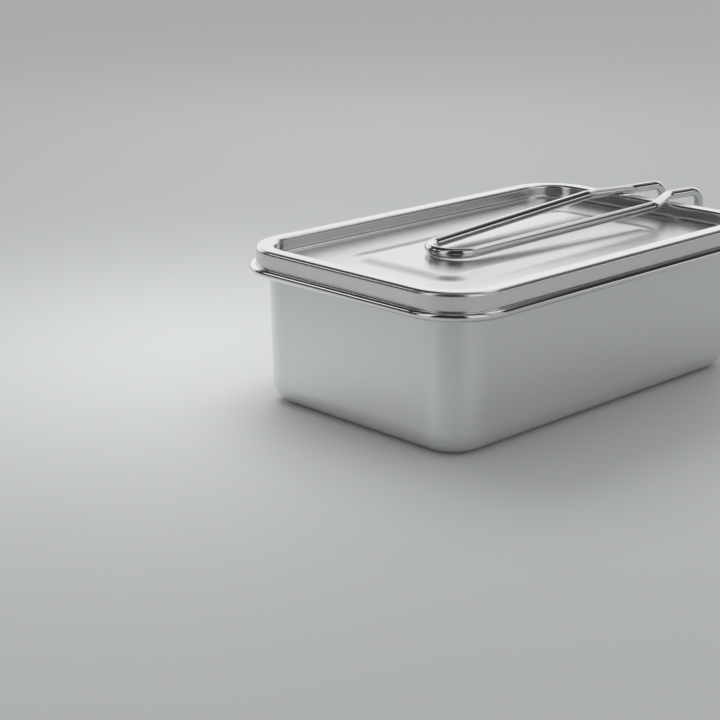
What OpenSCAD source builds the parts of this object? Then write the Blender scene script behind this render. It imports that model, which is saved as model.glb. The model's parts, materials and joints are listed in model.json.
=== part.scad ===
// Pressed steel lunch box: a drawn tub, a lid that drops over its rolled rim,
// and one bent wire that folds flat to hold the lid down and swings out as a pan handle.
// Millimetres. The origin is the centre of the underside, +X points to the hinge end, +Z is up.

/* [Box] */
// Height from the table to the top of the lid's rim
box_height = 59; // [50:1:90]
// Thickness of the pressed sheet
sheet = 0.6; // [0.4:0.1:0.8]
// Lean of the tub's walls, narrower at the foot
draft = 1.2; // [0.5:0.1:3]
// Outside radius between the tub's walls and its base
base_edge_r = 8.5; // [5:0.5:12]
// Diameter of the tub's rolled rim
curl_d = 3; // [2.6:0.1:3.4]

/* [Lid] */
// Length over the lid's skirt
lid_length = 176.3; // [160:1:220]
// Width over the lid's skirt
lid_width = 110.8; // [100:1:150]
// Outside corner radius of the skirt
lid_corner_r = 20.4; // [17:0.2:26]
// Width of the raised rim round the recess
rim_width = 6.7; // [6.4:0.1:8]
// Outside radius of the rim's two edges
rim_edge_r = 1.4; // [1:0.1:1.8]
// Depth of the recess below the rim
recess_depth = 5.2; // [4:0.2:8]
// Radius where the recess wall meets the panel
recess_foot_r = 1.5; // [1:0.1:2]
// Height of the skirt from the rim's top to the middle of its bead
skirt_drop = 7.9; // [6.5:0.1:12]
// Diameter of the rolled bead along the skirt
bead_d = 3; // [2.6:0.1:3.6]
// Length of the flat top of the raised field pressed into the panel
field_length = 107; // [90:1:120]
// Width of the field's flat top
field_width = 40; // [30:1:54]
// Corner radius of the field's flat top
field_corner_r = 3; // [2:0.5:10]
// Width of the soft slope round the field
field_slope = 9; // [4:0.5:12]
// Height of the raised field above the panel
field_rise = 1.1; // [0.6:0.1:1.6]

/* [Seal] */
// Thickness of the silicone ring in the lid's channel
seal_thick = 2; // [1.5:0.1:2.6]
// Gap between the silicone ring and the tub's rim
seal_gap = 0.3; // [0.2:0.05:0.5]
// Gap between the silicone ring and each side of the channel
seal_side_gap = 0.15; // [0.1:0.05:0.3]
// Gap between the lid's recess wall and the inside of the tub
plug_gap = 0.8; // [0.4:0.1:1.2]

/* [Handle] */
// Diameter of the handle's wire
wire_d = 3.8; // [3:0.1:4.5]
// Reach of the folded handle from the hinge end of the lid to its loop
grip_reach = 126.7; // [100:1:150]
// Radius of the loop at the grip's end, along the wire's centreline
loop_r = 10; // [8:0.5:14]
// Angle by which each leg of the grip spreads from the middle
flare = 3.7; // [2:0.1:5]
// Slope of the folded grip, which rises toward the hinge end
grip_slope = 1.9; // [1.2:0.1:2.4]
// Gap between the folded wire and the top of the lid's rim
rim_gap = 0.2; // [0.2:0.05:0.5]
// Distance inside the lid's end where the legs turn inward
shoulder_in = 20.5; // [16:0.5:26]
// Distance inside the lid's end where the legs run parallel again
neck_in = 2; // [0:0.5:5]
// Half the distance between the two parallel legs
neck_half = 9.2; // [8.5:0.1:11]
// Distance beyond the lid's end where the lines of the neck and the tail cross
hook_out = 26.5; // [24:0.5:30]
// Fall of the neck from the rim's edge to the hook
neck_fall = 1.1; // [0:0.1:1.5]
// Centreline radius of the hook over the lid's end
hook_r = 6; // [5:0.25:7]
// Centreline radius of the soft bends in the legs
leg_bend_r = 12; // [8:1:16]
// Centreline radius where the tail turns outward into the hinge pin
pin_bend_r = 3.5; // [3:0.1:4]

/* [Hinge] */
// Height of the hinge axis above the table
hinge_height = 35; // [32:0.5:38]
// Distance of the hinge axis from the end wall
hinge_out = 11; // [10:0.5:13]
// Half the distance between the bracket's ears
ear_half = 13.6; // [13.4:0.1:15]
// Thickness of the bracket
bracket_thick = 1.5; // [1:0.1:2]
// Height of the bracket's plate
plate_height = 22; // [20:1:25]
// Radius of each ear round the hinge pin
ear_r = 5; // [4:0.25:6]
// Outside radius of the fold between plate and ear
fold_r = 2.6; // [2.3:0.1:3.5]
// Radial running clearance of the pin in its ear
pin_clear = 0.06; // [0.03:0.01:0.1]
// Length of pin that shows past each ear
pin_past = 1.8; // [1:0.1:2.5]
// Distance between the two rivets
rivet_pitch = 13; // [11:0.5:14]
// Diameter of a rivet's shank
rivet_d = 4; // [3:0.1:4.5]
// Diameter of a rivet's domed head
rivet_head_d = 7.6; // [6:0.1:8]
// Height of a rivet's domed head
rivet_head_h = 1.9; // [1.4:0.1:2.2]
// Height of a rivet's flat head inside the tub
rivet_foot_h = 0.9; // [0.6:0.1:1.2]
// Radial clearance round a rivet's shank
rivet_clear = 0.05; // [0.02:0.01:0.1]

/* [Hidden] */
$fn = 96;

half = sheet / 2;
lid_end = lid_length / 2;
// Every outline shares these corner centres, so one section sweeps round all of it
corner_x = lid_end - lid_corner_r;
corner_y = lid_width / 2 - lid_corner_r;

// Centreline radii of the sheet's bends, and where its centrelines run; u is measured out from a corner centre
edge_r = rim_edge_r - half;
foot_r = recess_foot_r + half;
bead_r = bead_d / 2 - half;
curl_r = curl_d / 2 - half;
base_r = base_edge_r - half;
skirt_u = lid_corner_r - half;
recess_u = lid_corner_r - rim_width + half;
rim_z = box_height - half;
panel_z = box_height - recess_depth - half;
bead_z = box_height - skirt_drop;
bead_turn = 305;
curl_turn = 300;

// The raised field's own corner centres
field_x = field_length / 2 - field_corner_r;
field_y = field_width / 2 - field_corner_r;
field_lip = 1;

// The channel under the rim, with the silicone ring against its ceiling
channel_in = recess_u + half;
channel_out = skirt_u - half;
channel_z = box_height - sheet;
seal_corner_r = 0.9;
seal_low = channel_z - seal_thick;

// The tub's rolled rim, its leaning wall and its rounded foot
curl_u = channel_in + plug_gap + curl_d / 2;
curl_z = seal_low - seal_gap - curl_d / 2;
wall_top_u = curl_u - curl_r * cos(draft);
wall_top_z = curl_z + curl_r * sin(draft);
wall_foot_z = half + base_r * (1 - sin(draft));
wall_length = (wall_top_z - wall_foot_z) / cos(draft);
base_u = wall_u(wall_foot_z) - base_r * cos(draft);
function wall_u(z) = wall_top_u - (wall_top_z - z) * tan(draft);

// The end wall's outer face at the height of the hinge, and the hinge axis off that face
wall_face = corner_x + wall_u(hinge_height) + half / cos(draft);
hinge_x = wall_face + hinge_out * cos(draft);
hinge_z = hinge_height - hinge_out * sin(draft);

// The folded wire clears the rim by rim_gap where the rim's flat top begins
wire_r = wire_d / 2;
rest_x = lid_end - rim_width + rim_edge_r;
function wire_z(x) = box_height + rim_gap + wire_r + (x - rest_x) * tan(grip_slope);
function wire_at(x, y) = [x, y, wire_z(x)];
loop_tip = lid_end - grip_reach;
loop_corner_y = loop_r * tan((90 - flare) / 2);
shoulder_x = lid_end - shoulder_in;
shoulder_y = loop_corner_y + (shoulder_x - loop_tip) / cos(grip_slope) * tan(flare);
pin_end = ear_half + bracket_thick + pin_past;
pin_chamfer = 0.4;
seat = 0.02;
neck = wire_at(lid_end - neck_in, neck_half);

// One leg of the handle as the corners of its wire, each rounded by a bend of the radius beside it
leg_points = [
    wire_at(loop_tip, 0),
    wire_at(loop_tip, loop_corner_y),
    wire_at(shoulder_x, shoulder_y),
    neck,
    [lid_end + hook_out, neck_half, neck.z - neck_fall],
    [hinge_x, neck_half, hinge_z],
    [hinge_x, pin_end - pin_chamfer, hinge_z]
];
leg_radii = [0, loop_r, leg_bend_r, leg_bend_r, hook_r, pin_bend_r, 0];
leg_last = len(leg_points) - 1;

function unit(v) = v / norm(v);
function heading(i) = unit(leg_points[i] - leg_points[i - 1]);
function bend_turn(i) = i == leg_last ? 0 : acos(heading(i) * heading(i + 1));
function bend_axis(i) = unit(cross(heading(i), heading(i + 1)));
// The length that a bend takes up on each side of its corner
function bend_back(i) = leg_radii[i] == 0 ? 0 : leg_radii[i] * tan(bend_turn(i) / 2);
function straight_length(i) = norm(leg_points[i] - leg_points[i - 1]) - bend_back(i - 1) - bend_back(i);
// The turn about the wire itself from one bend's plane to the next
function bend_roll(i) =
    i == 1 || i == leg_last ? 0
    : atan2(cross(bend_axis(i - 1), bend_axis(i)) * heading(i), bend_axis(i - 1) * bend_axis(i));

// ---- shared shapes ----

// Copies children into all four quarters of the box
module four_quarters() {
    for (mx = [0, 1], my = [0, 1])
        mirror([mx, 0, 0]) mirror([0, my, 0]) children();
}

// Sweeps a section round a rounded rectangle; the section's x is measured out from the corner centres
module swept_round(x, y) {
    four_quarters() {
        translate([x, y, 0]) rotate_extrude(angle = 90) children();
        translate([x, y, 0]) rotate([90, 0, 0]) linear_extrude(y) children();
        translate([x, y, 0]) mirror([1, -1, 0]) rotate([90, 0, 0]) linear_extrude(x) children();
    }
}

// The flat sheet inside those corner centres
module middle_sheet(x, y) {
    four_quarters() translate([0, 0, -half]) cube([x, y, sheet]);
}

// A section of sheet that sets out along +X: each step is a straight length, a turn and its radius,
// and a turn above zero is to the left
module sheet_path(steps, i = 0) {
    if (i < len(steps)) {
        length = steps[i][0];
        turn = abs(steps[i][1]);
        right = steps[i][1] < 0 ? 1 : 0;
        r = steps[i][2];
        if (length > 0) translate([0, -half]) square([length, sheet]);
        translate([length, 0]) mirror([0, right, 0]) {
            sheet_bend(turn, r);
            translate([0, r]) rotate(turn) translate([0, -r]) mirror([0, right, 0]) sheet_path(steps, i + 1);
        }
    }
}

// Bent sheet that sets out along +X and turns left by up to 180 degrees
module sheet_bend(turn, r) {
    reach = r + sheet;
    intersection() {
        translate([0, r]) difference() {
            circle(r + half);
            circle(r - half);
        }
        translate([0, r - reach]) square([reach, 2 * reach]);
        translate([0, r]) rotate(turn) translate([-reach, -reach]) square([reach, 2 * reach]);
    }
}

// Stands children on the outer face of the end wall, +X away from the wall, at the hinge's height
module on_end_wall() {
    translate([wall_face, 0, hinge_height]) rotate([0, draft, 0]) children();
}

// ---- tub ----

module tub() {
    color("silver") difference() {
        translate([0, 0, half]) {
            middle_sheet(corner_x, corner_y);
            swept_round(corner_x, corner_y) sheet_path([
                [base_u, 90 - draft, base_r],
                [wall_length, -180, curl_r],
                [0, 180 - curl_turn, curl_r]
            ]);
        }
        rivet_holes(-2 * sheet, 2 * sheet);
    }
}

// ---- lid ----

module lid() {
    color("gainsboro") translate([0, 0, panel_z]) {
        difference() {
            union() {
                middle_sheet(corner_x, corner_y);
                swept_round(corner_x, corner_y) sheet_path([
                    [recess_u - foot_r, 90, foot_r],
                    [recess_depth - foot_r - edge_r, -90, edge_r],
                    [skirt_u - recess_u - 2 * edge_r, -90, edge_r],
                    [rim_z - edge_r - bead_z, 180, bead_r],
                    [0, bead_turn - 180, bead_r]
                ]);
            }
            field_hole();
        }
        translate([0, 0, field_rise]) middle_sheet(field_x, field_y);
        swept_round(field_x, field_y) field_section();
    }
}

// The raised field's sheet from its corner centre down a soft slope to a lip level with the panel
module field_section() {
    slope = [
        for (t = [0:0.125:1])
            [field_corner_r + field_slope * t, field_rise * (1 + cos(180 * t)) / 2]
    ];
    line = concat([[0, field_rise]], slope, [[field_corner_r + field_slope + field_lip, 0]]);
    last = len(line) - 1;
    polygon([
        for (p = line) p + [0, half],
        for (i = [0:last]) line[last - i] - [0, half]
    ]);
}

// What the field replaces of the flat panel
module field_hole() {
    r = field_corner_r + field_slope + field_lip / 2;
    translate([0, 0, -sheet]) linear_extrude(2 * sheet) {
        square([2 * (field_x + r), 2 * field_y], center = true);
        square([2 * field_x, 2 * (field_y + r)], center = true);
        for (sx = [-1, 1], sy = [-1, 1])
            translate([sx * field_x, sy * field_y]) circle(r);
    }
}

// ---- silicone ring ----

module lid_seal() {
    inner = channel_in + seal_side_gap + seal_corner_r;
    outer = channel_out - seal_side_gap - seal_corner_r;
    color("whitesmoke") translate([0, 0, seal_low]) swept_round(corner_x, corner_y) {
        translate([inner, 0]) square([outer - inner, seal_thick]);
        translate([inner - seal_corner_r, seal_corner_r])
            square([outer - inner + 2 * seal_corner_r, seal_thick - 2 * seal_corner_r]);
        for (u = [inner, outer], z = [seal_corner_r, seal_thick - seal_corner_r])
            translate([u, z]) circle(seal_corner_r);
    }
}

// ---- handle ----

// Bent wire that sets out along +Z and turns toward -X
module wire_bend(turn, r) {
    translate([-r, 0, 0]) rotate([90, 0, 0])
        rotate_extrude(angle = turn) translate([r, 0]) circle(d = wire_d);
}

// Straight wire along +Z, a hair thinner than the bends at its ends and reaching a hair into them
module wire_straight(length) {
    translate([0, 0, -seat]) cylinder(d = wire_d - seat, h = length + 2 * seat);
}

// The leg's wire from the straight that leads to corner i, which sets out along +Z
module leg_from(i) {
    length = straight_length(i);
    r = leg_radii[i];
    turn = bend_turn(i);
    rotate([0, 0, bend_roll(i)]) {
        if (length > seat) wire_straight(length);
        translate([0, 0, length])
            if (i < leg_last) {
                wire_bend(turn, r);
                translate([-r, 0, 0]) rotate([0, -turn, 0]) translate([r, 0, 0]) leg_from(i + 1);
            } else
                cylinder(r1 = wire_r, r2 = wire_r - pin_chamfer, h = pin_chamfer);
    }
}

module leg() {
    translate(leg_points[0]) rotate([0, -grip_slope, 0]) rotate([90, 0, 180]) leg_from(1);
}

module handle() {
    color("lightsteelblue") {
        leg();
        mirror([0, 1, 0]) leg();
    }
}

// ---- hinge bracket and its rivets ----

// Where a line from p touches the right-hand side of a circle about c
function touch(p, c, r) =
    let (bearing = atan2(p.y - c.y, p.x - c.x) - acos(r / norm(p - c)))
    c + r * [cos(bearing), sin(bearing)];

// The bracket seen from above: a plate with an ear folded out at each side
module bracket_plan() {
    ear_out = ear_half + bracket_thick;
    ear_tip = hinge_out + ear_r;
    difference() {
        union() {
            translate([fold_r, -ear_out]) square([ear_tip - fold_r, 2 * ear_out]);
            translate([0, fold_r - ear_out]) square([fold_r, 2 * (ear_out - fold_r)]);
            for (side = [-1, 1]) translate([fold_r, side * (ear_out - fold_r)]) circle(fold_r);
        }
        translate([fold_r, -ear_half]) square([ear_tip, 2 * ear_half]);
        translate([bracket_thick, fold_r - ear_out]) square([ear_tip, 2 * (ear_out - fold_r)]);
        for (side = [-1, 1])
            translate([fold_r, side * (ear_out - fold_r)]) circle(fold_r - bracket_thick);
    }
}

// The bracket seen from its side: a tall plate and an ear that narrows to the pin
module bracket_side() {
    axis = [hinge_out, 0];
    shoulder = [fold_r, plate_height / 2];
    high = touch(shoulder, axis, ear_r);
    low = [high.x, -high.y];
    translate(axis) circle(ear_r);
    polygon([[0, -shoulder.y], [fold_r, -shoulder.y], low, axis, high, shoulder, [0, shoulder.y]]);
}

module hinge_bracket() {
    color("silver") difference() {
        on_end_wall() intersection() {
            translate([0, 0, -plate_height]) linear_extrude(2 * plate_height) bracket_plan();
            rotate([90, 0, 0])
                linear_extrude(4 * ear_half, center = true) bracket_side();
        }
        translate([hinge_x, 0, hinge_z]) rotate([90, 0, 0])
            cylinder(r = wire_r + pin_clear, h = 4 * ear_half, center = true);
        rivet_holes(-sheet, 2 * bracket_thick);
    }
}

// Holes for both rivets through what lies between two distances from the wall's outer face
module rivet_holes(from, to) {
    on_end_wall() for (side = [-1, 1])
        translate([from, 0, side * rivet_pitch / 2]) rotate([0, 90, 0])
            cylinder(r = rivet_d / 2 + rivet_clear, h = to - from);
}

// A rivet with a domed head outside and a flat head inside the tub
module rivet(side) {
    dome_r = (pow(rivet_head_d / 2, 2) + pow(rivet_head_h, 2)) / (2 * rivet_head_h);
    on_end_wall() translate([0, 0, side * rivet_pitch / 2]) rotate([0, 90, 0]) {
        translate([0, 0, -sheet - rivet_foot_h]) cylinder(d = rivet_head_d, h = rivet_foot_h);
        translate([0, 0, -sheet]) cylinder(d = rivet_d, h = sheet + bracket_thick);
        translate([0, 0, bracket_thick]) intersection() {
            translate([0, 0, rivet_head_h - dome_r]) sphere(dome_r);
            cylinder(d = rivet_head_d, h = rivet_head_h);
        }
    }
}

module rivet_upper() {
    color("gainsboro") rivet(1);
}

module rivet_lower() {
    color("gainsboro") rivet(-1);
}

tub();
lid();
lid_seal();
handle();
hinge_bracket();
rivet_upper();
rivet_lower();
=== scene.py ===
import json
import math

import bmesh
import bpy
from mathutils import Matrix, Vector


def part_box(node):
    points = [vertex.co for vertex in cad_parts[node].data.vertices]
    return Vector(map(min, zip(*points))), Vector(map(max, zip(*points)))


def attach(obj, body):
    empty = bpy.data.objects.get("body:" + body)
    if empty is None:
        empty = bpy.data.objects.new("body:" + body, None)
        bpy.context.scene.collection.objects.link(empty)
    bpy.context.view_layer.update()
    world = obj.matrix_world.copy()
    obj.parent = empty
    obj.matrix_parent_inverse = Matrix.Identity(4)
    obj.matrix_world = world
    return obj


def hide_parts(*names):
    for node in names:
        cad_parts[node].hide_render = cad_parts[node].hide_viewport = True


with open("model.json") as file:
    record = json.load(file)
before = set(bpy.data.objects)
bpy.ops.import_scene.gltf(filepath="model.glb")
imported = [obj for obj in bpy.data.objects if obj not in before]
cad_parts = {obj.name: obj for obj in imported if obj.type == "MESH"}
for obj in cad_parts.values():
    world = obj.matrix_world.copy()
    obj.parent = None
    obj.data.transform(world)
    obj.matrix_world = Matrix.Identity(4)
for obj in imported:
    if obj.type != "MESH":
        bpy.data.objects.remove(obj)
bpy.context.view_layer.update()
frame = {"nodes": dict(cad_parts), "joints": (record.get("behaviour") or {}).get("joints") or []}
mm = 0.001  # every size below is in millimetres until it reaches a mesh
mergeGap = 0.002
print("frame loaded")

# ---- camera ----

camera = {
    "place": (-475.9, -407.6, 199.1),
    "azimuth": 45.68,  # from +X towards +Y
    "down": 17.0,
    "lens": 85.39,
    "sensor": 36,
}


def makeCamera():
    data = bpy.data.cameras.new("camera")
    data.lens = camera["lens"]
    data.sensor_width = camera["sensor"]
    data.clip_start = 0.01
    eye = bpy.data.objects.new("camera", data)
    eye.location = Vector(camera["place"]) * mm
    azimuth, down = math.radians(camera["azimuth"]), math.radians(camera["down"])
    level = math.cos(down)
    look = Vector((level * math.cos(azimuth), level * math.sin(azimuth), -math.sin(down)))
    eye.rotation_euler = look.to_track_quat("-Z", "Y").to_euler()
    bpy.context.scene.collection.objects.link(eye)
    bpy.context.scene.camera = eye


makeCamera()
print("camera placed")

# ---- node helpers ----


def addNode(tree, kind, links=None, **settings):
    node = tree.nodes.new(kind)
    for name, value in settings.items():
        setattr(node, name, value)
    for socket, value in (links or {}).items():
        if isinstance(value, bpy.types.NodeSocket):
            tree.links.new(value, node.inputs[socket])
        else:
            node.inputs[socket].default_value = value
    return node


def mathNode(tree, operation, a, b=0.0, c=0.0):
    return addNode(tree, "ShaderNodeMath", {0: a, 1: b, 2: c}, operation=operation).outputs[0]


def vectorNode(tree, operation, a, b=(0, 0, 0)):
    return addNode(tree, "ShaderNodeVectorMath", {0: a, 1: b}, operation=operation).outputs[0]


def mixColours(tree, share, low, high):
    # each colour is three numbers or a socket
    ends = [colour if isinstance(colour, bpy.types.NodeSocket) else (*colour, 1) for colour in (low, high)]
    return addNode(tree, "ShaderNodeMix", {0: share, 6: ends[0], 7: ends[1]}, data_type="RGBA").outputs[2]


def newTree(name, kind, sockets):
    tree = bpy.data.node_groups.new(name, kind)
    for direction, title, socketType in sockets:
        tree.interface.new_socket(title, in_out=direction, socket_type="NodeSocket" + socketType)
    given = tree.nodes.new("NodeGroupInput").outputs
    result = tree.nodes.new("NodeGroupOutput").inputs
    return tree, given, result


def finishTree(tree, geometry, given, result):
    whole = addNode(tree, "GeometryNodeRealizeInstances", {"Geometry": geometry}).outputs[0]
    coated = addNode(tree, "GeometryNodeSetMaterial", {"Geometry": whole, "Material": given["Material"]})
    tree.links.new(coated.outputs[0], result["Geometry"])


def keepMesh(piece):
    # the piece as its modifiers leave it
    graph = bpy.context.evaluated_depsgraph_get()
    return bpy.data.meshes.new_from_object(piece.evaluated_get(graph))


def runTree(name, tree, values):
    # evaluates a geometry tree and keeps the result as a plain mesh
    carrier = bpy.data.objects.new(name + "Carrier", bpy.data.meshes.new(name + "Carrier"))
    bpy.context.scene.collection.objects.link(carrier)
    modifier = carrier.modifiers.new("tree", "NODES")
    modifier.node_group = tree
    for item in tree.interface.items_tree:
        if item.in_out == "INPUT" and item.name in values:
            modifier[item.identifier] = values[item.name]
    mesh = keepMesh(carrier)
    bpy.data.objects.remove(carrier)
    piece = bpy.data.objects.new(name, mesh)
    bpy.context.scene.collection.objects.link(piece)
    return piece


def faceOutwards(shape):
    # undercuts can mislead the recalculation, and a closed shape that is inside out has a negative volume
    bmesh.ops.recalc_face_normals(shape, faces=shape.faces)
    if shape.calc_volume(signed=True) < 0:
        bmesh.ops.reverse_faces(shape, faces=shape.faces)


def markSharp(shape, degrees):
    for edge in shape.edges:
        if edge.calc_face_angle(0) > math.radians(degrees):
            edge.smooth = False


def pointObject(name, points, attributes):
    # loose points that carry what a geometry tree reads by index
    mesh = bpy.data.meshes.new(name)
    mesh.from_pydata([Vector(p) * mm for p in points], [], [])
    for title, (kind, rows) in attributes.items():
        layer = mesh.attributes.new(title, kind, "POINT")
        for item, row in zip(layer.data, rows):
            if kind == "FLOAT":
                item.value = row
            else:
                item.vector = row
    holder = bpy.data.objects.new(name, mesh)
    bpy.context.scene.collection.objects.link(holder)
    return holder


# ---- steel finishes ----

rubbing = {"lineDetail": 4.0, "patchScale": 38.0, "patchDetail": 3.0, "patchShare": 0.8, "toneSpread": 0.35}


def makeGrain():
    # fine rubbed lines and slow unevenness; Coordinate is in metres, stretched by Stretch
    tree, given, result = newTree("grain", "ShaderNodeTree", [
        ("INPUT", "Coordinate", "Vector"),
        ("INPUT", "Stretch", "Vector"),
        ("INPUT", "Roughness", "Float"),
        ("INPUT", "Spread", "Float"),
        ("OUTPUT", "Roughness", "Float"),
        ("OUTPUT", "Height", "Float"),
        ("OUTPUT", "Tone", "Float"),
    ])
    stretched = vectorNode(tree, "MULTIPLY", given["Coordinate"], given["Stretch"])
    lines = addNode(tree, "ShaderNodeTexNoise", {"Vector": stretched, "Scale": 1.0,
                                                 "Detail": rubbing["lineDetail"]})
    slow = addNode(tree, "ShaderNodeTexNoise", {"Vector": given["Coordinate"], "Scale": rubbing["patchScale"],
                                                "Detail": rubbing["patchDetail"]})
    fine = mathNode(tree, "SUBTRACT", lines.outputs["Fac"], 0.5)
    broad = mathNode(tree, "SUBTRACT", slow.outputs["Fac"], 0.5)
    both = mathNode(tree, "ADD", fine, mathNode(tree, "MULTIPLY", broad, rubbing["patchShare"]))
    rough = mathNode(tree, "MULTIPLY_ADD", both, given["Spread"], given["Roughness"])
    tree.links.new(rough, result["Roughness"])
    tree.links.new(lines.outputs["Fac"], result["Height"])
    shade = mathNode(tree, "ADD", mathNode(tree, "MULTIPLY", both, rubbing["toneSpread"]), 0.5)
    tree.links.new(shade, result["Tone"])
    return tree


grain = makeGrain()

finishes = {
    "tubSteel": {"dark": (0.75, 0.76, 0.76), "light": (0.80, 0.805, 0.80), "rough": 0.26, "spread": 0.04,
                 "stretch": (60, 60, 3200), "bump": 0.02, "depth": 0.00002, "brushed": 0.6},
    "lidSteel": {"dark": (0.77, 0.775, 0.775), "light": (0.82, 0.82, 0.815), "rough": 0.19, "spread": 0.05,
                 "stretch": (70, 3000, 3000), "bump": 0.012, "depth": 0.00001,
                 # height above the base and how rough the steel is there: burnished bead, satin panel, rim
                 "worn": [(52.4, 0.07), (52.8, 0.26), (55.0, 0.26), (55.6, 0.18), (58.4, 0.22)]},
    "wireSteel": {"dark": (0.68, 0.685, 0.69), "light": (0.80, 0.80, 0.80), "rough": 0.12, "spread": 0.06,
                  "stretch": (400, 2600, 2600), "bump": 0.03, "depth": 0.00001},
    "bracketSteel": {"dark": (0.62, 0.625, 0.63), "light": (0.74, 0.74, 0.74), "rough": 0.26, "spread": 0.10,
                     "stretch": (3000, 3000, 120), "bump": 0.05, "depth": 0.00002},
    "rivetSteel": {"dark": (0.64, 0.645, 0.65), "light": (0.78, 0.78, 0.78), "rough": 0.16, "spread": 0.08,
                   "stretch": (900, 900, 900), "bump": 0.04, "depth": 0.00001},
}


def makeSteel(name):
    finish = finishes[name]
    material = bpy.data.materials.new(name)
    material.use_nodes = True
    tree = material.node_tree
    shader = tree.nodes["Principled BSDF"]
    shader.inputs["Metallic"].default_value = 1.0
    place = addNode(tree, "ShaderNodeTexCoord").outputs["Object"]
    rub = addNode(tree, "ShaderNodeGroup", node_tree=grain)
    rub.inputs["Stretch"].default_value = finish["stretch"]
    rub.inputs["Roughness"].default_value = finish["rough"]
    rub.inputs["Spread"].default_value = finish["spread"]
    tree.links.new(place, rub.inputs["Coordinate"])
    tone = mixColours(tree, rub.outputs["Tone"], finish["dark"], finish["light"])
    tree.links.new(tone, shader.inputs["Base Color"])
    if "worn" in finish:
        height = addNode(tree, "ShaderNodeSeparateXYZ", {0: place}).outputs["Z"]
        low, high = finish["worn"][0][0], finish["worn"][-1][0]
        share = addNode(tree, "ShaderNodeMapRange", {"Value": height, "From Min": low * mm,
                                                     "From Max": high * mm})
        ramp = addNode(tree, "ShaderNodeValToRGB", {0: share.outputs[0]})
        stops = ramp.color_ramp.elements
        while len(stops) < len(finish["worn"]):
            stops.new(1.0)
        for stop, (up, rough) in zip(stops, finish["worn"]):
            stop.position = (up - low) / (high - low)
            stop.color = (rough, rough, rough, 1)
        tree.links.new(ramp.outputs["Color"], rub.inputs["Roughness"])
    tree.links.new(rub.outputs["Roughness"], shader.inputs["Roughness"])
    if "brushed" in finish:
        # rubbed round the walls, so what they mirror is drawn out upwards: a quarter turn from the lines
        around = addNode(tree, "ShaderNodeTangent", direction_type="RADIAL", axis="Z")
        tree.links.new(around.outputs[0], shader.inputs["Tangent"])
        shader.inputs["Anisotropic"].default_value = finish["brushed"]
        shader.inputs["Anisotropic Rotation"].default_value = 0.25
    bump = addNode(tree, "ShaderNodeBump", {"Strength": finish["bump"], "Distance": finish["depth"],
                                            "Height": rub.outputs["Height"]})
    tree.links.new(bump.outputs["Normal"], shader.inputs["Normal"])
    return material


steels = {name: makeSteel(name) for name in finishes}

rubber = {
    "dark": (0.80, 0.80, 0.78),
    "light": (0.88, 0.88, 0.86),
    "rough": 0.42,
    "spread": 0.2,
    "patchScale": 120.0,
    "patchDetail": 3.0,
    "glow": 0.15,
    "glowDepth": 2,
}


def makeSilicone():
    material = bpy.data.materials.new("silicone")
    material.use_nodes = True
    tree = material.node_tree
    shader = tree.nodes["Principled BSDF"]
    place = addNode(tree, "ShaderNodeTexCoord").outputs["Object"]
    mottle = addNode(tree, "ShaderNodeTexNoise", {"Vector": place, "Scale": rubber["patchScale"],
                                                  "Detail": rubber["patchDetail"]})
    tone = mixColours(tree, mottle.outputs["Fac"], rubber["dark"], rubber["light"])
    tree.links.new(tone, shader.inputs["Base Color"])
    rough = mathNode(tree, "MULTIPLY_ADD", mottle.outputs["Fac"], rubber["spread"], rubber["rough"])
    tree.links.new(rough, shader.inputs["Roughness"])
    shader.inputs["Subsurface Weight"].default_value = rubber["glow"]
    shader.inputs["Subsurface Radius"].default_value = (rubber["glowDepth"] * mm,) * 3
    return material


silicone = makeSilicone()
print("materials made")

# ---- pressed sheet: a section carried round a rounded rectangle ----

outline = {"cornerSteps": 30, "support": 0.006}  # steps round a corner, and where a side's extra point stands
press = {"sheet": 0.6, "arcStep": 7.0, "support": 0.25, "rawEdge": (-60, -30, 0, 30, 60)}
half = press["sheet"] / 2


def makeOutline():
    # each point holds the way outwards and the corner, or the place between two corners, that it belongs to
    outwards, sides = [], []
    steps = outline["cornerSteps"]
    corners = [(1, 1), (-1, 1), (-1, -1), (1, -1)]
    for index, corner in enumerate(corners):
        for step in range(steps + 1):
            turn = math.radians(90 * (index + step / steps))
            outwards.append((math.cos(turn), math.sin(turn), 0))
            sides.append((*corner, 0))
        following = corners[(index + 1) % 4]
        for share in (outline["support"], 0.5, 1 - outline["support"]):
            outwards.append(outwards[-1])
            sides.append((*(a + (b - a) * share for a, b in zip(corner, following)), 0))
    return pointObject("outline", [Vector(o) / mm for o in outwards], {"side": ("FLOAT_VECTOR", sides)})


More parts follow.
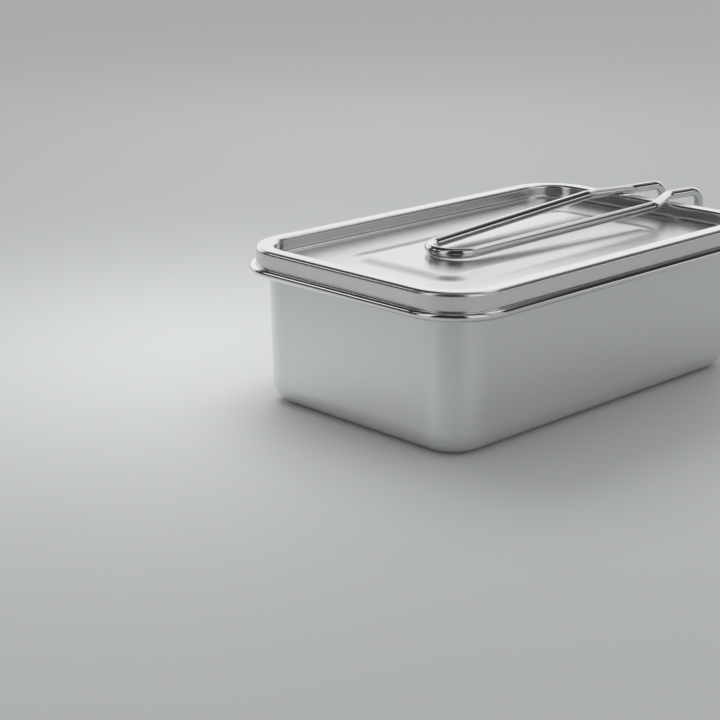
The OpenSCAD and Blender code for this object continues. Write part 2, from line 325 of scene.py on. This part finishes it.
def makePressTree():
    tree, given, result = newTree("pressedSheet", "GeometryNodeTree", [
        ("OUTPUT", "Geometry", "Geometry"),
        ("INPUT", "Section", "Object"),
        ("INPUT", "Outline", "Object"),
        ("INPUT", "Material", "Material"),
    ])
    section = addNode(tree, "GeometryNodeObjectInfo", {"Object": given["Section"]}).outputs["Geometry"]
    around = addNode(tree, "GeometryNodeObjectInfo", {"Object": given["Outline"]}).outputs["Geometry"]
    down = addNode(tree, "GeometryNodeAttributeDomainSize", {0: section}).outputs["Point Count"]
    sides = addNode(tree, "GeometryNodeAttributeDomainSize", {0: around}).outputs["Point Count"]
    grid = addNode(tree, "GeometryNodeMeshGrid", {
        "Vertices X": mathNode(tree, "ADD", sides, 1),
        "Vertices Y": down,
    }).outputs["Mesh"]
    index = addNode(tree, "GeometryNodeInputIndex").outputs[0]
    row = mathNode(tree, "MODULO", index, down)
    column = mathNode(tree, "MODULO", mathNode(tree, "FLOOR", mathNode(tree, "DIVIDE", index, down)), sides)
    place = addNode(tree, "GeometryNodeInputPosition").outputs[0]

    def sample(geometry, at, attribute=None):
        value = place
        if attribute:
            value = addNode(tree, "GeometryNodeInputNamedAttribute", {"Name": attribute},
                            data_type="FLOAT_VECTOR").outputs[0]
        return addNode(tree, "GeometryNodeSampleIndex", {"Geometry": geometry, "Value": value, "Index": at},
                       data_type="FLOAT_VECTOR").outputs[0]

    profile = addNode(tree, "ShaderNodeSeparateXYZ", {0: sample(section, row)})
    height = addNode(tree, "ShaderNodeCombineXYZ", {"Z": profile.outputs["Z"]}).outputs[0]
    outwards = addNode(tree, "ShaderNodeVectorMath", {0: sample(around, column), 3: profile.outputs["X"]},
                       operation="SCALE").outputs[0]
    corner = vectorNode(tree, "MULTIPLY", sample(around, column, "side"), sample(section, row, "reach"))
    spot = vectorNode(tree, "ADD", vectorNode(tree, "ADD", corner, outwards), height)
    formed = addNode(tree, "GeometryNodeSetPosition", {"Geometry": grid, "Position": spot}).outputs[0]
    sewing = {"Geometry": formed, "Distance": mergeGap * mm}
    sewn = addNode(tree, "GeometryNodeMergeByDistance", sewing).outputs[0]
    smooth = addNode(tree, "GeometryNodeSetShadeSmooth", {"Geometry": sewn}).outputs[0]
    finishTree(tree, smooth, given, result)
    return tree


def traceSheet(spot, heading, steps):
    # the sheet's middle line in a section, as (out, up, heading)
    # each step is a length, a left turn and its radius
    out, up = spot
    line = []
    for length, turn, radius in steps:
        along = Vector((math.cos(math.radians(heading)), math.sin(math.radians(heading))))
        supports = []
        if length > 3 * press["support"]:
            supports = [press["support"], length / 2, length - press["support"]]
        for run in (0, *supports):
            if length > 0:
                line.append((out + along.x * run, up + along.y * run, heading))
        out, up = out + along.x * length, up + along.y * length
        count = max(2, math.ceil(abs(turn) / press["arcStep"]))
        sign = 1 if turn > 0 else -1
        centre = Vector((out - sign * along.y * radius, up + sign * along.x * radius))
        for step in range(count + 1):
            bearing = math.radians(heading + turn * step / count)
            line.append((centre.x + sign * math.sin(bearing) * radius,
                         centre.y - sign * math.cos(bearing) * radius,
                         heading + turn * step / count))
        out, up, heading = line[-1]
    return line


def wrapSheet(rows):
    # both skins of the sheet and its rounded raw edge, from rows of (reach, out, up, heading)

    def skin(row, turn):
        reach, out, up, heading = row
        bearing = math.radians(heading + turn)
        return reach, out + math.cos(bearing) * half, up + math.sin(bearing) * half

    lower = [skin(row, -90) for row in rows]
    edge = [skin(rows[-1], turn) for turn in press["rawEdge"]]
    upper = [skin(row, 90) for row in reversed(rows)]
    return lower + edge + upper


def pressPiece(name, section, material):
    points = [(out, 0, up) for reach, out, up in section]
    holder = pointObject(name + "Section", points, {
        "reach": ("FLOAT_VECTOR", [Vector((*reach, 0)) * mm for reach, out, up in section]),
    })
    piece = runTree(name, pressTree, {"Section": holder, "Outline": roundOutline, "Material": material})
    bpy.data.objects.remove(holder)
    shape = bmesh.new()
    shape.from_mesh(piece.data)
    faceOutwards(shape)
    shape.to_mesh(piece.data)
    shape.free()
    return piece


roundOutline = makeOutline()
pressTree = makePressTree()

# ---- lid ----

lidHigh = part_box("lid")[1] / mm
lid = {
    "cornerR": 20.4,
    "bead": 3.0,
    "beadTurn": 305,
    "rimWidth": 6.7,
    "rimEdgeR": 1.4,
    "recessDepth": 5.2,
    "footR": 1.5,
    "skirtDrop": 7.9,
    "fieldLength": 107,
    "fieldWidth": 40,
    "fieldCornerR": 3,
    "fieldRise": 1.1,
    "fieldSlope": 9,
    "slopeSteps": 16,
}
lidTop = lidHigh.z
lidEnd = lidHigh.x - lid["bead"] + press["sheet"]
lidSide = lidHigh.y - lid["bead"] + press["sheet"]
corner = (lidEnd - lid["cornerR"], lidSide - lid["cornerR"])
panelZ = lidTop - lid["recessDepth"] - half
recessOut = lid["cornerR"] - lid["rimWidth"] + half


def makeLid():
    edgeR = lid["rimEdgeR"] - half
    footR = lid["footR"] + half
    beadR = lid["bead"] / 2 - half
    fieldCorner = (lid["fieldLength"] / 2 - lid["fieldCornerR"], lid["fieldWidth"] / 2 - lid["fieldCornerR"])
    fieldZ = panelZ + lid["fieldRise"]
    rows = [
        ((0, 0), 0, fieldZ, 0),
        ((fieldCorner[0] / 2, fieldCorner[1] / 2), lid["fieldCornerR"] / 2, fieldZ, 0),
        (fieldCorner, lid["fieldCornerR"] - press["support"], fieldZ, 0),
    ]
    for step in range(lid["slopeSteps"] + 1):
        share = step / lid["slopeSteps"]
        rise = lid["fieldRise"] * (1 + math.cos(math.pi * share)) / 2
        fall = -lid["fieldRise"] * math.pi * math.sin(math.pi * share) / 2 / lid["fieldSlope"]
        out = lid["fieldCornerR"] + lid["fieldSlope"] * share
        rows.append((fieldCorner, out, panelZ + rise, math.degrees(math.atan(fall))))
    foot = lid["fieldCornerR"] + lid["fieldSlope"]
    rows.append((fieldCorner, foot + press["support"], panelZ, 0))
    flat = recessOut - footR
    line = traceSheet((flat - press["support"], panelZ), 0, [
        (press["support"], 90, footR),
        (lid["recessDepth"] - footR - edgeR, -90, edgeR),
        (lid["rimWidth"] - press["sheet"] - 2 * edgeR, -90, edgeR),
        (lid["skirtDrop"] - half - edgeR, 180, beadR),
        (0, lid["beadTurn"] - 180, beadR),
    ])
    rows += [(corner, out, up, heading) for out, up, heading in line]
    return pressPiece("lidShell", wrapSheet(rows), steels["lidSteel"])


lidShell = makeLid()
print("lid pressed")

# ---- tub ----

tub = {
    "draft": 1.2,
    "baseEdgeR": 8.5,
    "curl": 3.0,
    "curlTurn": 300,
    "plugGap": 0.8,
}
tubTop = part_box("tub")[1].z / mm


def wallOut(up):
    # how far the wall's middle line stands out from the corner centres at a height
    draft = math.radians(tub["draft"])
    curlR = tub["curl"] / 2 - half
    curlOut = recessOut + half + tub["plugGap"] + tub["curl"] / 2
    topOut = curlOut - curlR * math.cos(draft)
    topUp = tubTop - tub["curl"] / 2 + curlR * math.sin(draft)
    return topOut - (topUp - up) * math.tan(draft), topUp


def makeTub():
    draft = math.radians(tub["draft"])
    baseR = tub["baseEdgeR"] - half
    footUp = half + baseR * (1 - math.sin(draft))
    footOut, topUp = wallOut(footUp)
    flat = footOut - baseR * math.cos(draft)
    rows = [((0, 0), 0, half, 0), ((corner[0] / 2, corner[1] / 2), flat / 2, half, 0)]
    line = traceSheet((flat - press["support"], half), 0, [
        (press["support"], 90 - tub["draft"], baseR),
        ((topUp - footUp) / math.cos(draft), -180, tub["curl"] / 2 - half),
        (0, 180 - tub["curlTurn"], tub["curl"] / 2 - half),
    ])
    rows += [(corner, out, up, heading) for out, up, heading in line]
    return pressPiece("tubShell", wrapSheet(rows), steels["tubSteel"])


tubShell = makeTub()
print("tub drawn")

# ---- sealing ring ----

seal = {"thick": 2.0, "sideGap": 0.15, "cornerR": 0.9, "cornerSteps": 6}


def makeSeal():
    top = lidTop - press["sheet"]
    inner = recessOut + half + seal["sideGap"] + seal["cornerR"]
    outer = lid["cornerR"] - press["sheet"] - seal["sideGap"] - seal["cornerR"]
    high, low = top - seal["cornerR"], top - seal["thick"] + seal["cornerR"]
    section = []
    corners = ((inner, low, 180), (outer, low, 270), (outer, high, 0), (inner, high, 90))
    for centreOut, centreUp, begin in corners:
        for step in range(seal["cornerSteps"] + 1):
            bearing = math.radians(begin + 90 * step / seal["cornerSteps"])
            section.append((corner, centreOut + seal["cornerR"] * math.cos(bearing),
                            centreUp + seal["cornerR"] * math.sin(bearing)))
    return pressPiece("sealRing", section + section[:1], silicone)


sealRing = makeSeal()
print("ring moulded")

# ---- wire handle ----

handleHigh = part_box("handle")[1] / mm
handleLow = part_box("handle")[0] / mm
hinge = Vector(frame["joints"][0]["pos_m"]) / mm
wire = {
    "d": 3.8,
    "loopR": 10,
    "flare": 3.7,
    "slope": 1.9,
    "rimGap": 0.2,
    "shoulderIn": 20.5,
    "neckIn": 2,
    "neckHalf": 9.2,
    "hookOut": 26.5,
    "neckFall": 1.1,
    "hookR": 6,
    "bendR": 12,
    "pinBendR": 3.5,
    "chamfer": 0.4,
    "sides": 40,
    "bendSteps": 28,
    "support": 0.4,
    "shortest": 1.5,  # a straight needs this much more than its bend before it gets a support point
    "sharp": 30,
}


def wireSpot(x, y):
    restX = lidEnd - lid["rimWidth"] + lid["rimEdgeR"]
    rise = (x - restX) * math.tan(math.radians(wire["slope"]))
    return Vector((x, y, lidTop + wire["rimGap"] + wire["d"] / 2 + rise))


def handleCorners():
    # one leg of the wire, from the loop to the hinge pin, as corners and the radius that rounds each
    loopTip = handleLow.x + wire["d"] / 2
    loopSide = wire["loopR"] * math.tan(math.radians((90 - wire["flare"]) / 2))
    shoulderX = lidEnd - wire["shoulderIn"]
    run = (shoulderX - loopTip) / math.cos(math.radians(wire["slope"]))
    shoulderY = loopSide + run * math.tan(math.radians(wire["flare"]))
    pinY = handleHigh.y - wire["chamfer"]
    neck = wireSpot(lidEnd - wire["neckIn"], wire["neckHalf"])
    hook = Vector((lidEnd + wire["hookOut"], wire["neckHalf"], neck.z - wire["neckFall"]))
    return [
        (wireSpot(loopTip, loopSide), wire["loopR"]),
        (wireSpot(shoulderX, shoulderY), wire["bendR"]),
        (neck, wire["bendR"]),
        (hook, wire["hookR"]),
        (Vector((hinge.x, wire["neckHalf"], hinge.z)), wire["pinBendR"]),
        (Vector((hinge.x, pinY, hinge.z)), 0),
    ]


def bendBack(before, spot, after, radius):
    turn = (spot - before).angle(after - spot)
    return radius * math.tan(turn / 2)


def supportPoints(leg):
    # adds a straight point just outside each bend, so that the shading of the straights stays even
    spots = [spot for spot, radius in leg]
    spaced = []
    for index, (spot, radius) in enumerate(leg):
        if 0 < index < len(leg) - 1:
            back = bendBack(spots[index - 1], spot, spots[index + 1], radius) + wire["support"]
            into = (spot - spots[index - 1]).normalized()
            away = (spots[index + 1] - spot).normalized()
            if (spot - spots[index - 1]).length > back + wire["shortest"]:
                spaced.append((spot - into * back, 0))
            spaced.append((spot, radius))
            spaced.append((spot + away * back, 0))
        else:
            spaced.append((spot, radius))
    return spaced


def makeWireTree():
    tree, given, result = newTree("bentWire", "GeometryNodeTree", [
        ("OUTPUT", "Geometry", "Geometry"),
        ("INPUT", "Corners", "Object"),
        ("INPUT", "Radius", "Float"),
        ("INPUT", "Sides", "Int"),
        ("INPUT", "Bend Steps", "Int"),
        ("INPUT", "Material", "Material"),
    ])
    corners = addNode(tree, "GeometryNodeObjectInfo", {"Object": given["Corners"]}).outputs["Geometry"]
    route = addNode(tree, "GeometryNodeMeshToCurve", {0: corners}).outputs[0]
    bend = addNode(tree, "GeometryNodeInputNamedAttribute", {"Name": "bend"}, data_type="FLOAT").outputs[0]
    bending = {"Curve": route, "Radius": bend, "Count": given["Bend Steps"]}
    bent = addNode(tree, "GeometryNodeFilletCurve", bending, mode="POLY").outputs[0]
    girth = addNode(tree, "GeometryNodeInputNamedAttribute", {"Name": "girth"}, data_type="FLOAT").outputs[0]
    tapered = addNode(tree, "GeometryNodeSetCurveRadius", {"Curve": bent, "Radius": girth}).outputs[0]
    around = {"Resolution": given["Sides"], "Radius": given["Radius"]}
    ring = addNode(tree, "GeometryNodeCurvePrimitiveCircle", around, mode="RADIUS").outputs["Curve"]
    drawn = {"Curve": tapered, "Profile Curve": ring, "Fill Caps": True}
    tube = addNode(tree, "GeometryNodeCurveToMesh", drawn)
    if "Scale" in tube.inputs:
        tree.links.new(girth, tube.inputs["Scale"])
    smooth = addNode(tree, "GeometryNodeSetShadeSmooth", {"Geometry": tube.outputs[0]}).outputs[0]
    finishTree(tree, smooth, given, result)
    return tree


def makeHandle():
    leg = supportPoints(handleCorners())
    far = [(spot, radius, 1.0) for spot, radius in leg]
    tip = Vector((hinge.x, handleHigh.y, hinge.z))
    small = 1 - wire["chamfer"] / (wire["d"] / 2)
    far.append((tip, 0, small))
    near = [(Vector((spot.x, -spot.y, spot.z)), radius, girth) for spot, radius, girth in reversed(far)]
    route = near + far
    holder = pointObject("wireCorners", [spot for spot, radius, girth in route], {
        "bend": ("FLOAT", [radius * mm for spot, radius, girth in route]),
        "girth": ("FLOAT", [girth for spot, radius, girth in route]),
    })
    mesh = holder.data
    mesh.edges.add(len(route) - 1)
    for index, edge in enumerate(mesh.edges):
        edge.vertices = (index, index + 1)
    piece = runTree("wireHandle", makeWireTree(), {
        "Corners": holder, "Radius": wire["d"] / 2 * mm, "Sides": wire["sides"],
        "Bend Steps": wire["bendSteps"], "Material": steels["wireSteel"],
    })
    bpy.data.objects.remove(holder)
    shape = bmesh.new()
    shape.from_mesh(piece.data)
    bmesh.ops.remove_doubles(shape, verts=shape.verts, dist=mergeGap * mm)
    faceOutwards(shape)
    markSharp(shape, wire["sharp"])
    shape.to_mesh(piece.data)
    shape.free()
    return piece


wireHandle = makeHandle()
print("wire bent")

# ---- hinge bracket and rivets ----

bracket = {"flatAngle": 0.4, "edgeR": 0.22, "edgeSteps": 3, "edgeAngle": 35}


def makeBracket():
    # the bracket's own plates with their sharp edges broken
    piece = frame["nodes"]["hinge_bracket"].copy()
    piece.data = piece.data.copy()
    piece.name = "bracketPlate"
    piece.parent = None
    bpy.context.scene.collection.objects.link(piece)
    shape = bmesh.new()
    shape.from_mesh(piece.data)
    bmesh.ops.remove_doubles(shape, verts=shape.verts, dist=mergeGap * mm)
    flat = math.radians(bracket["flatAngle"])
    bmesh.ops.dissolve_limit(shape, angle_limit=flat, verts=shape.verts, edges=shape.edges)
    for face in shape.faces:
        face.smooth = True
    shape.to_mesh(piece.data)
    shape.free()
    bevel = piece.modifiers.new("bevel", "BEVEL")
    bevel.width = bracket["edgeR"] * mm
    bevel.segments = bracket["edgeSteps"]
    bevel.angle_limit = math.radians(bracket["edgeAngle"])
    bevel.harden_normals = True
    mesh = keepMesh(piece)
    piece.modifiers.clear()
    piece.data = mesh
    mesh.materials.clear()
    mesh.materials.append(steels["bracketSteel"])
    return piece


bracketPlate = makeBracket()

rivet = {
    "headD": 7.6,
    "headH": 1.9,
    "headEdgeH": 0.12,
    "headEdgeIn": 0.02,
    "headSeatIn": 0.14,
    "footH": 0.9,
    "footSeatIn": 0.15,
    "footEdge": 0.25,
    "shankD": 4.0,
    "plate": 1.5,
    "steps": 48,
    "domeSteps": 14,
    "sharp": 50,
    "wallMark": 35,  # a height at which the leaning wall is measured
}


def makeRivets():
    # one turned rivet, set at each of the two places on the leaning end wall
    headR = rivet["headD"] / 2
    shankR = rivet["shankD"] / 2
    head, foot = rivet["plate"], -press["sheet"]
    dome = (headR ** 2 + rivet["headH"] ** 2) / (2 * rivet["headH"])
    spread = math.asin(headR / dome)
    profile = []
    for step in range(rivet["domeSteps"] + 1):
        bearing = spread * step / rivet["domeSteps"]
        profile.append((head + rivet["headH"] - dome + dome * math.cos(bearing), dome * math.sin(bearing)))
    profile += [
        (head + rivet["headEdgeH"], headR - rivet["headEdgeIn"]),
        (head, headR - rivet["headSeatIn"]),
        (head, shankR),
        (foot, shankR),
        (foot, headR - rivet["footSeatIn"]),
        (foot - rivet["footSeatIn"], headR),
        (foot - rivet["footH"] + rivet["footEdge"], headR),
        (foot - rivet["footH"], headR - rivet["footEdge"]),
        (foot - rivet["footH"], 0),
    ]
    centres = []
    for node in ("rivet_upper", "rivet_lower"):
        low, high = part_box(node)
        centres.append((low + high) / 2 / mm)
    lean = math.radians(tub["draft"])
    wallFace = corner[0] + wallOut(rivet["wallMark"])[0] + half / math.cos(lean)
    tree, given, result = newTree("rivetPair", "GeometryNodeTree", [
        ("OUTPUT", "Geometry", "Geometry"),
        ("INPUT", "Turned", "Object"),
        ("INPUT", "Places", "Object"),
        ("INPUT", "Lean", "Float"),
        ("INPUT", "Material", "Material"),
    ])
    turned = addNode(tree, "GeometryNodeObjectInfo", {"Object": given["Turned"]}).outputs["Geometry"]
    places = addNode(tree, "GeometryNodeObjectInfo", {"Object": given["Places"]}).outputs["Geometry"]
    turn = addNode(tree, "ShaderNodeCombineXYZ", {"Y": given["Lean"]}).outputs[0]
    copies = {"Points": places, "Instance": turned, "Rotation": turn}
    spots = addNode(tree, "GeometryNodeInstanceOnPoints", copies).outputs[0]
    finishTree(tree, spots, given, result)

    shape = bmesh.new()
    line = [shape.verts.new(Vector((out, 0, radius)) * mm) for out, radius in profile]
    edges = [shape.edges.new(pair) for pair in zip(line, line[1:])]
    bmesh.ops.spin(shape, geom=line + edges, cent=(0, 0, 0), axis=(1, 0, 0), angle=math.tau,
                   steps=rivet["steps"])
    bmesh.ops.remove_doubles(shape, verts=shape.verts, dist=mergeGap * mm)
    faceOutwards(shape)
    for face in shape.faces:
        face.smooth = True
    markSharp(shape, rivet["sharp"])
    turnedMesh = bpy.data.meshes.new("rivetTurned")
    shape.to_mesh(turnedMesh)
    shape.free()
    blank = bpy.data.objects.new("rivetTurned", turnedMesh)
    bpy.context.scene.collection.objects.link(blank)
    spotsOnWall = []
    for centre in centres:
        up = (centre.z - rivet["wallMark"]) / math.cos(lean)
        spotsOnWall.append((wallFace + up * math.sin(lean), 0, centre.z))
    holder = pointObject("rivetPlaces", spotsOnWall, {})
    piece = runTree("rivets", tree, {
        "Turned": blank, "Places": holder, "Lean": lean, "Material": steels["rivetSteel"],
    })
    bpy.data.objects.remove(blank)
    bpy.data.objects.remove(holder)
    return piece


rivets = makeRivets()
bpy.data.objects.remove(roundOutline)
print("bracket and rivets set")

# ---- what each piece rides on ----

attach(tubShell, "box")
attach(bracketPlate, "box")
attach(rivets, "box")
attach(lidShell, "lid")
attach(sealRing, "lid")
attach(wireHandle, "handle")
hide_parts("tub")
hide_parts("hinge_bracket")
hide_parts("rivet_upper", "rivet_lower")
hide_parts("lid")
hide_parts("lid_seal")
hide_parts("handle")

# ---- floor, surroundings and light ----

studio = {
    "floor": (0.60, 0.61, 0.61),
    "floorRough": 0.6,
    "floorReach": 6,  # metres
    "ambient": (0.61, 0.62, 0.62),
    "dark": 0.03,
    "seam": -75,  # azimuths run on from here, so that no reflector crosses it
}
# what bright metal sees of the room: azimuth from, to, soft edge, elevation from, to, soft edge, brightness
reflectors = {
    "back wall": (-10, 100, 8, -4, 32, 3, 0.95),
    "left strip": (117, 130, 2, 24, 37, 2, 1.2),
    "right softbox": (-34, 34, 6, 43, 62, 3, 0.8),
    "softbox corner": (17, 34, 3, 30, 46, 3, 0.7),
    "right end glow": (-66, -34, 6, 40, 60, 5, 0.5),
    "right glow": (-75, -43, 4, -8, 36, 5, 0.45),
    "right strip": (-41, -31, 1.5, 4, 13, 1.5, 1.1),
    "front left": (158, 182, 4, 0, 62, 5, 0.75),
    "front left, high": (139, 150, 3, 30, 52, 3, 0.6),
    "front right": (246, 285, 5, 0, 60, 5, 0.7),
    "ceiling": (-400, 400, 1, 74, 120, 8, 0.25),
}


def makeFloor():
    mesh = bpy.data.meshes.new("floor")
    side = studio["floorReach"]
    corners = [(-side, -side, 0), (side, -side, 0), (side, side, 0), (-side, side, 0)]
    mesh.from_pydata(corners, [], [(0, 1, 2, 3)])
    floor = bpy.data.objects.new("floor", mesh)
    bpy.context.scene.collection.objects.link(floor)
    material = bpy.data.materials.new("floorBoard")
    material.use_nodes = True
    shader = material.node_tree.nodes["Principled BSDF"]
    shader.inputs["Base Color"].default_value = (*studio["floor"], 1)
    shader.inputs["Roughness"].default_value = studio["floorRough"]
    mesh.materials.append(material)


def softWindow(tree, value, low, high, soft):
    # 1 between low and high, falling to 0 over the soft edge at both ends
    edges = []
    for edge, before, after in ((low, 0.0, 1.0), (high, 1.0, 0.0)):
        ramp = {"Value": value, "From Min": edge - soft, "From Max": edge + soft,
                "To Min": before, "To Max": after}
        edges.append(addNode(tree, "ShaderNodeMapRange", ramp, interpolation_type="SMOOTHSTEP").outputs[0])
    return mathNode(tree, "MULTIPLY", *edges)


def makeWorld():
    world = bpy.data.worlds.new("studio")
    world.use_nodes = True
    bpy.context.scene.world = world
    tree = world.node_tree
    looking = addNode(tree, "ShaderNodeTexCoord").outputs["Generated"]
    spot = addNode(tree, "ShaderNodeSeparateXYZ", {0: looking})
    raw = mathNode(tree, "DEGREES", mathNode(tree, "ARCTAN2", spot.outputs["Y"], spot.outputs["X"]))
    elevation = mathNode(tree, "DEGREES", mathNode(tree, "ARCSINE", spot.outputs["Z"]))
    turned = mathNode(tree, "FLOORED_MODULO", mathNode(tree, "SUBTRACT", raw, studio["seam"]), 360)
    azimuth = mathNode(tree, "ADD", turned, studio["seam"])
    total = studio["dark"]
    for azFrom, azTo, azSoft, elFrom, elTo, elSoft, level in reflectors.values():
        across = softWindow(tree, azimuth, azFrom, azTo, azSoft)
        high = softWindow(tree, elevation, elFrom, elTo, elSoft)
        total = mathNode(tree, "MULTIPLY_ADD", mathNode(tree, "MULTIPLY", across, high), level, total)
    shown = addNode(tree, "ShaderNodeCombineXYZ", {0: total, 1: total, 2: total}).outputs[0]
    path = addNode(tree, "ShaderNodeLightPath")
    glossy = mathNode(tree, "MAXIMUM", path.outputs["Is Glossy Ray"], path.outputs["Is Transmission Ray"])
    seen = mixColours(tree, glossy, studio["ambient"], shown)
    tree.links.new(seen, tree.nodes["Background"].inputs["Color"])


lamps = {
    "pool": {"place": (-50, 105, 210), "aim": (-50, 105, 0), "size": 160, "power": 0.3},
    "backdrop": {"place": (350, 420, 500), "aim": (350, 420, 0), "size": 300, "power": 0.6},
}


def addLamp(name, place, aim, size, power):
    data = bpy.data.lights.new(name, "AREA")
    data.shape = "SQUARE"
    data.size = size * mm
    data.energy = power
    lamp = bpy.data.objects.new(name, data)
    lamp.location = Vector(place) * mm
    lamp.rotation_euler = (Vector(aim) - Vector(place)).to_track_quat("-Z", "Y").to_euler()
    lamp.visible_glossy = False
    bpy.context.scene.collection.objects.link(lamp)


makeFloor()
makeWorld()
for name, lamp in lamps.items():
    addLamp(name, **lamp)
bpy.context.scene.view_settings.view_transform = "Standard"
print("stage lit")
